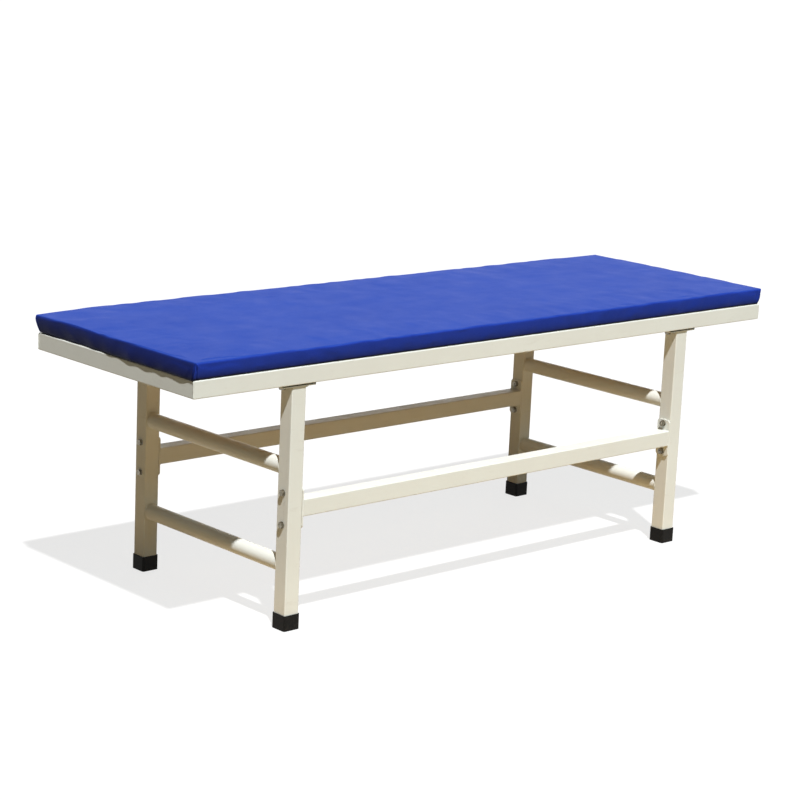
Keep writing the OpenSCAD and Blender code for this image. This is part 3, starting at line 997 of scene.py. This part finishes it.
def make_fasteners():
    generator = random.Random(11)
    end_bolts, plate_bolts = ([(*place, generator.uniform(0, TAU)) for place in places]
                              for places in (end_bolt_places(), plate_bolt_places()))
    end_length = TUBE + END_PLATE_T + 2 * WASHER_T + NUT_H + BOLT_TAIL
    plate_length = WASHER_T + PLATE_T + SHIM_T + TUBE_WALL + NUT_H + BOLT_TAIL

    def each(places, add, offset, *facts):
        def build(bm):
            for point, direction, turn in places:
                add(bm, facing(point + direction * offset, direction, turn), *facts)
        return build

    def both_washers(bm):
        for point, direction, turn in end_bolts:
            add_washer(bm, facing(point, -direction, turn))
            add_washer(bm, facing(point + direction * (TUBE + END_PLATE_T), direction, turn))

    fasteners("stretcher_bolts", each(end_bolts, add_bolt, -WASHER_T, end_length))
    fasteners("stretcher_washers", both_washers)
    fasteners("stretcher_nuts", each(end_bolts, add_nut, TUBE + END_PLATE_T + WASHER_T))
    fasteners("plate_bolts", each(plate_bolts, add_bolt, -WASHER_T, plate_length))
    fasteners("plate_washers", each([(p, -d, t) for p, d, t in plate_bolts], add_washer, 0.0))
    fasteners("plate_nuts", each(plate_bolts, add_nut, PLATE_T + SHIM_T + TUBE_WALL))


SCREW_HEAD_R, SCREW_HEAD_H, SCREW_R = 5 * MM, 3 * MM, 2.5 * MM
SCREW_PITCH, SCREW_ROWS, SCREW_SAMPLES = 2.2 * MM, 60, 48
SCREW_THREAD_FROM, SCREW_POINT = 2 * MM, 5 * MM


def cross_slot(angle):
    """The radius of the head's cross-shaped slot at an angle."""
    length, width = 0.58 * SCREW_HEAD_R, 0.17 * SCREW_HEAD_R
    off = abs((angle + pi / 4) % (pi / 2) - pi / 4)
    return min(length / cos(off), width / max(sin(off), 1e-6))


def screw_head():
    """Rings of the head, from the bottom of its slot to the shank."""
    shape = [(0.12 * SCREW_HEAD_R, 1.9 * MM - SCREW_HEAD_H),
             (lambda angle: 0.55 * cross_slot(angle), 1.6 * MM - SCREW_HEAD_H),
             (cross_slot, -SCREW_HEAD_H)]
    shape += [(r * SCREW_HEAD_R, z * SCREW_HEAD_H) for r, z in
              ((0.66, -1), (0.86, -0.82), (0.97, -0.5), (1, -0.15), (0.97, 0))]
    return [ring(radius, z, SCREW_SAMPLES) for radius, z in shape + [(SCREW_R, 0)]]


def add_screw(bm, place, length):
    """A cross-recess wood screw, its head below zero and its point along +Z."""
    rings = screw_head()
    for k in range(SCREW_ROWS + 1):
        z = SCREW_THREAD_FROM + (length - SCREW_THREAD_FROM) * k / SCREW_ROWS
        taper = min(1.0, (length - z) / SCREW_POINT + 0.06)

        def radius(angle, z=z, taper=taper):
            turn = abs(2 * ((z / SCREW_PITCH - angle / TAU) % 1) - 1)
            return SCREW_R * taper * (0.66 + 0.34 * max(0.0, 1 - 2.6 * turn))
        rings.append(ring(radius, z, SCREW_SAMPLES))
    loft(bm, rings, place)


def make_board_screws():
    low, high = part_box("board_screws")
    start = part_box("cross_member_left")[0].z
    pitch_x, screw_y = (high.x - low.x) / 2 - SCREW_HEAD_R, high.y - SCREW_HEAD_R
    generator = random.Random(5)

    def build(bm):
        for k in (-1, 0, 1):
            for sign in (-1, 1):
                point = Vector((k * pitch_x, sign * screw_y, start))
                add_screw(bm, facing(point, UP, generator.uniform(0, TAU)), high.z - start)
    fasteners("board_screws", build)


# ------------ welds

WELD_STEP = 0.8 * MM
RIPPLE, RIPPLE_DEPTH, WAVER = 2.4 * MM, 0.16, 0.18
BEAD_SIDES, BEAD_ANGLE = 8, radians(80)


def resample(corners, closed):
    """Points at even steps along straight runs between the corners."""
    ends = corners + [corners[0]] if closed else corners
    path = []
    for a, b in zip(ends, ends[1:]):
        count = max(1, round((b - a).length / WELD_STEP))
        path += [a.lerp(b, k / count) for k in range(count)]
    return path if closed else path + [ends[-1]]


def rounded_outline(half_a, half_b, radius, steps=6):
    """Points of a rounded rectangle about the origin, as (a, b) pairs."""
    points = []
    for q in range(4):
        for k in range(steps + 1):
            turn = pi / 2 * (q + k / steps)
            a = (half_a - radius) * (1 if q in (0, 3) else -1) + radius * cos(turn)
            b = (half_b - radius) * (1 if q < 2 else -1) + radius * sin(turn)
            points.append((a, b))
    return points


def add_bead(bm, path, closed, radius, seed):
    """A rippled bead along a path, its rings square to it."""
    rings, travelled = [], 0.0
    count = len(path)
    for k, point in enumerate(path):
        before = path[k - 1] if closed or k else point
        after = path[(k + 1) % count] if closed or k < count - 1 else point
        along = (after - before).normalized()
        first = along.cross(UP if abs(along.z) < 0.8 else Vector((1, 0, 0))).normalized()
        second = along.cross(first)
        travelled += (point - path[k - 1]).length if k else 0
        ripple = 1 - RIPPLE_DEPTH * abs(sin(pi * travelled / RIPPLE))
        waver = 1 + WAVER * noise.noise(Vector((travelled * 120, seed, 0)))
        end = 1.0
        if not closed:
            end = sqrt(min(1.0, (min(k, count - 1 - k) + 0.4) * WELD_STEP / radius))
        size = radius * ripple * waver * end
        rings.append([point + (first * a + second * b) * size
                      for a, b, z in ring(1.0, 0, BEAD_SIDES)])
    loft(bm, rings, loop=closed)


def crossbar_paths():
    """Round each crossbar end, on the leg's face and its rounded corners."""
    for height in ("upper", "lower"):
        low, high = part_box(f"crossbar_{height}_left")
        radius = (high.z - low.z) / 2
        turns = ring(radius, (low.z + high.z) / 2, round(TAU * radius / WELD_STEP))
        for sx, sy in CORNERS:
            path = []
            for x, up, z in turns:
                past = max(0.0, abs(x) - (TUBE / 2 - TUBE_R))
                sunk = TUBE_R - sqrt(max(0.0, TUBE_R ** 2 - past ** 2))
                path.append(Vector((sx * LEG_X + x, sy * (LEG_IN_Y + sunk), z + up)))
            yield path, True, 2.0 * MM


def leg_plate_paths():
    """Round the top of each leg, under its plate."""
    for sx, sy in CORNERS:
        corners = [Vector((sx * LEG_X + a, sy * LEG_Y + b, PLATE_BOTTOM))
                   for a, b in rounded_outline(TUBE / 2, TUBE / 2, TUBE_R)]
        yield resample(corners, True), True, 1.3 * MM


def end_plate_paths():
    """Round each stretcher end, on its end plate."""
    sunk = 0.4 * MM
    for sx, sy in CORNERS:
        corners = [Vector((sx * stretcher_high.x, sy * LEG_Y + a, STRETCHER_Z + b))
                   for a, b in rounded_outline(TUBE / 2 - sunk, TUBE / 2, TUBE_R)]
        yield resample(corners, True), True, 1.7 * MM


def cross_member_paths():
    """Down, along and up each cross member's end, on the rail's inner face."""
    stop, bend = 3 * MM, 0.9 * MM
    for place in MEMBERS:
        low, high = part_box("cross_member_" + place)
        for y in (-high.y, high.y):
            outline = [(low.x, high.z - stop), (low.x, low.z + TUBE_R),
                       (low.x + bend, low.z + bend), (low.x + TUBE_R, low.z),
                       (high.x - TUBE_R, low.z), (high.x - bend, low.z + bend),
                       (high.x, low.z + TUBE_R), (high.x, high.z - stop)]
            yield resample([Vector((x, y, z)) for x, z in outline], False), False, 1.7 * MM


def rail_corner_paths():
    """The mitres: outside, ground nearly flush, then inside and underneath."""
    inner_x, inner_y = FRAME_X - TUBE, FRAME_Y - TUBE
    proud, back, under = 0.6 * MM, 1.4 * MM, RAIL_BOTTOM + 0.9 * MM
    for sx, sy in CORNERS:
        def line(*places, sx=sx, sy=sy):
            return resample([Vector((sx * x, sy * y, z)) for x, y, z in places], False)
        x, y = FRAME_X + proud, FRAME_Y - back
        yield (line((x, y, RAIL_BOTTOM + 1.6 * MM), (x, y, RAIL_TOP - 1.6 * MM)),
               False, 1.35 * MM)
        yield (line((inner_x, inner_y, RAIL_BOTTOM + 2.5 * MM),
                    (inner_x, inner_y, RAIL_TOP - 3 * MM)), False, 2.2 * MM)
        yield (line((inner_x + TUBE_R, inner_y + TUBE_R, under),
                    (FRAME_X - TUBE_R, FRAME_Y - TUBE_R, under)), False, 1.4 * MM)


def make_welds():
    kinds = {"welds_crossbars": crossbar_paths, "welds_leg_plates": leg_plate_paths,
             "welds_end_plates": end_plate_paths, "welds_cross_members": cross_member_paths,
             "welds_rail_corners": rail_corner_paths}
    for name, paths in kinds.items():
        bm = bmesh.new()
        for seed, (path, closed, radius) in enumerate(paths()):
            add_bead(bm, path, closed, radius, seed + len(name))
        new_piece(name, finished_mesh(name, bm, BEAD_ANGLE), PAINT)


# ------------ camera, light and floor

AZIMUTH, ELEVATION, ROLL = radians(-42.33), radians(12.83), radians(2.61)
CAMERA_PLACE = Vector((-3.7252, -4.0149, 1.6427))
LENS, SENSOR = 101.76, 36.0


def make_camera():
    back = Vector((sin(AZIMUTH) * cos(ELEVATION),
                   -cos(AZIMUTH) * cos(ELEVATION), sin(ELEVATION)))
    right = Vector((cos(AZIMUTH), sin(AZIMUTH), 0))
    up = back.cross(right)
    right, up = (right * cos(ROLL) + up * sin(ROLL),
                 up * cos(ROLL) - right * sin(ROLL))
    data = bpy.data.cameras.new("camera")
    data.lens, data.sensor_width = LENS, SENSOR
    data.clip_end = 200
    camera = bpy.data.objects.new("camera", data)
    turn = Matrix((right, up, back)).transposed().to_4x4()
    camera.matrix_world = Matrix.Translation(CAMERA_PLACE) @ turn
    scene.collection.objects.link(camera)
    scene.camera = camera


def seen_share(tree):
    """1 for rays that show a background, straight, mirrored or through glass."""
    ray = node("LightPath", {}, tree).outputs
    share = maths("MAXIMUM", ray["Is Camera Ray"], ray["Is Glossy Ray"])
    return maths("MAXIMUM", share, ray["Is Transmission Ray"])


def make_world():
    """White where it is seen, and a low even light elsewhere."""
    world = bpy.data.worlds.new("studio")
    world.use_nodes = True
    scene.world = world
    tree = world.node_tree
    dim, white = (0.036, 0.036, 0.030), (1, 1, 1)
    feed(tree.nodes["Background"], {"Color": mix(seen_share(tree), dim, white), "Strength": 1.0})


def make_lamp(name, comes_from, energy, angle, colour, shine=True):
    """A lamp far away, angle degrees across. shine says whether it gives highlights."""
    data = bpy.data.lights.new(name, "SUN")
    data.energy, data.angle, data.color = energy, radians(angle), colour
    lamp = bpy.data.objects.new(name, data)
    lamp.rotation_euler = comes_from.to_track_quat("Z", "Y").to_euler()
    lamp.visible_glossy = shine
    scene.collection.objects.link(lamp)


def make_lamps():
    """The sun, and two soft fills: for the outer front faces, and for the right end and back."""
    make_lamp("sun", Vector((-0.235, -0.430, 0.872)), 4.1, 1.5, (1.0, 1.0, 1.0))
    make_lamp("front_fill", Vector((0.0, -0.80, 0.60)), 0.30, 25, (0.45, 0.85, 1.0))
    make_lamp("end_fill", Vector((0.82, 0.56, 0.12)), 0.9, 30, (1.0, 0.97, 0.92), shine=False)


def floor_material():
    """White where it is seen, but for the table's shadow. Its bounce is warm, less so far out."""
    material = bpy.data.materials.new("floor")
    material.use_nodes = True
    tree = material.node_tree
    tree.nodes.clear()
    shadowed = node("BsdfDiffuse", {"Color": (0.24, 0.24, 0.24, 1)}, tree)
    glow = node("Emission", {"Color": (1, 1, 1, 1), "Strength": 0.77}, tree)
    seen = node("AddShader", {0: shadowed.outputs[0], 1: glow.outputs[0]})
    along = split(node("TexCoord", {}, tree).outputs["Object"])["X"]
    beyond = spread(maths("ABSOLUTE", along), 0.75, 1.45)
    near, far = (0.57, 0.395, 0.195), (0.165, 0.13, 0.075)
    lit = node("BsdfDiffuse", {"Color": mix(beyond, near, far)})
    both = node("MixShader", {0: seen_share(tree), 1: lit.outputs[0], 2: seen.outputs[0]})
    node("OutputMaterial", {"Surface": both.outputs[0]})
    return material


def make_floor():
    bm = bmesh.new()
    bmesh.ops.create_grid(bm, x_segments=1, y_segments=1, size=60)
    mesh = bpy.data.meshes.new("floor")
    bm.to_mesh(mesh)
    bm.free()
    mesh.materials.append(floor_material())
    floor = bpy.data.objects.new("floor", mesh)
    scene.collection.objects.link(floor)
    floor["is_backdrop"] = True


def write_sizes():
    """Gathers both boxes, the frame's and the dressed table's, into a dict that is not kept."""
    boxes = {"cad": cad_box, "visual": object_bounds()}
    {name: [list(corner) for corner in box] for name, box in boxes.items()}


make_camera()
make_world()
make_lamps()
make_floor()
dress_frame()
make_pad_cover()
make_foam()
make_staples()
make_fasteners()
make_board_screws()
make_welds()
scene.view_settings.view_transform = "Standard"
write_sizes()
